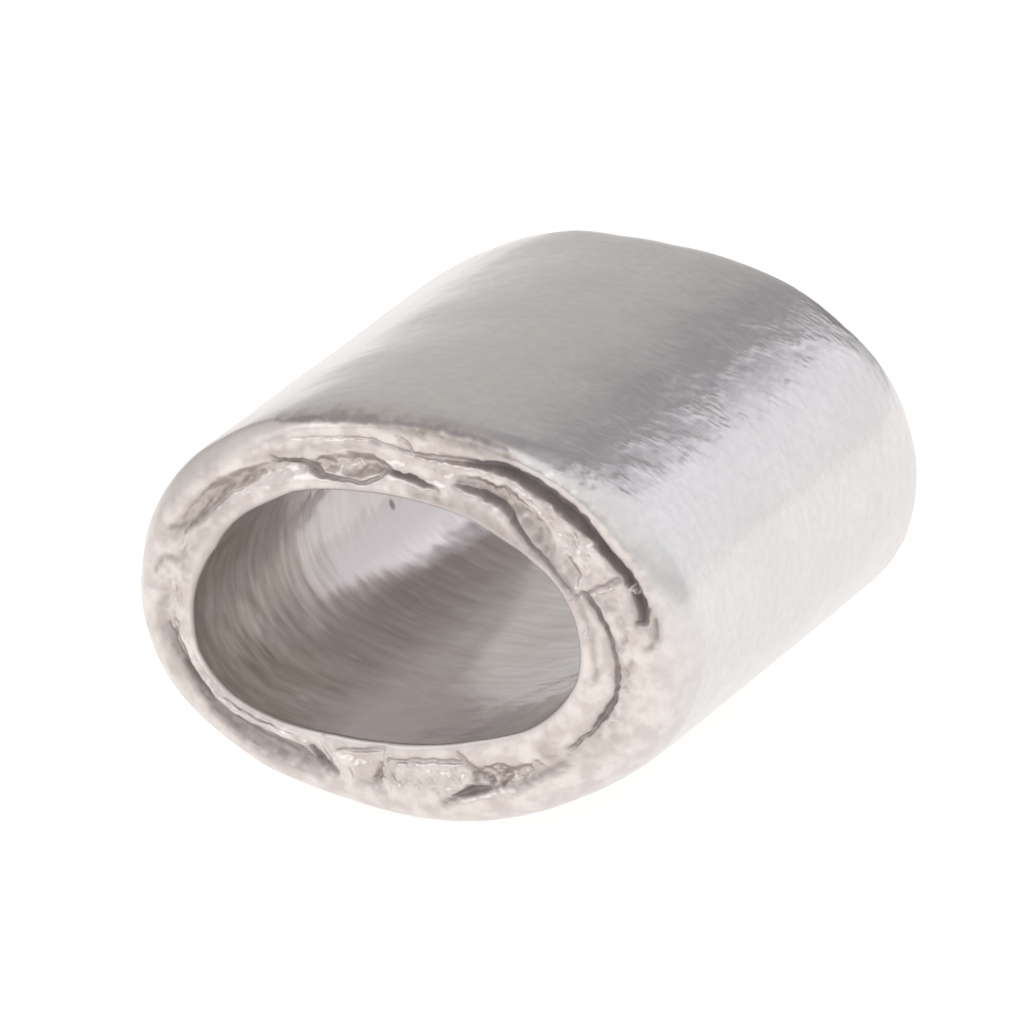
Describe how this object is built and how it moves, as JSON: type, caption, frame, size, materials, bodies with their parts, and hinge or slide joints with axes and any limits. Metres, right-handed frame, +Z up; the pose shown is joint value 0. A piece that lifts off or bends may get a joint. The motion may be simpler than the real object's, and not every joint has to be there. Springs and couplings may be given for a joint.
{
  "type": "wire rope ferrule",
  "caption": "Short oval aluminium sleeve with rounded edges and one torn, sheared end, pressed over two runs of thin wire rope to make an eye.",
  "frame": {"origin": "on the surface that the sleeve lies on, under the middle of its bounding box", "axes": "+Y along the bore away from the torn end, +X across the wide side of the oval, +Z up across its narrow side"},
  "size_m": [0.006, 0.0066, 0.0044],
  "materials": {
    "aluminium": "satin tumbled aluminium, rough and creamy where the end was torn by shearing"
  },
  "bodies": {
    "root": {"ferrule": "aluminium"}
  },
  "joints": []
}
